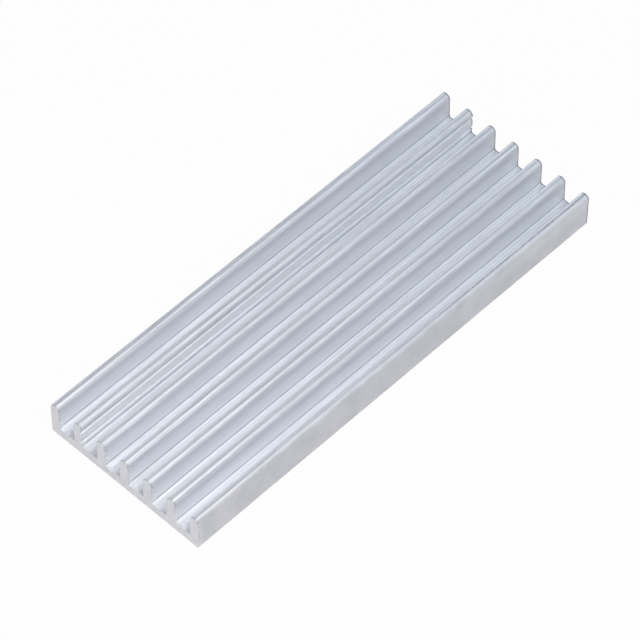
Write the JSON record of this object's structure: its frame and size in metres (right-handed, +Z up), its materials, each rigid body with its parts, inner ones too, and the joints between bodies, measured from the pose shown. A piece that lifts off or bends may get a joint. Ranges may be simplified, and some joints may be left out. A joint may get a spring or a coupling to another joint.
{
  "type": "extruded heat sink",
  "caption": "Low rectangular bar of extruded aluminium with upright round-topped fins along its length and a flat underside; one fin carries two shallow marking grooves.",
  "frame": {"origin": "centre of the flat underside of the base", "axes": "+X along the extrusion, +Y across the fins towards the side with the marked fin, +Z up from the underside to the fin tips"},
  "size_m": [0.1, 0.0362, 0.0078],
  "materials": {
    "mill_finish_aluminium": "mill finish, with fine die lines along the length and saw-cut ends"
  },
  "bodies": {
    "root": {"heat_sink": "mill_finish_aluminium"}
  },
  "joints": []
}
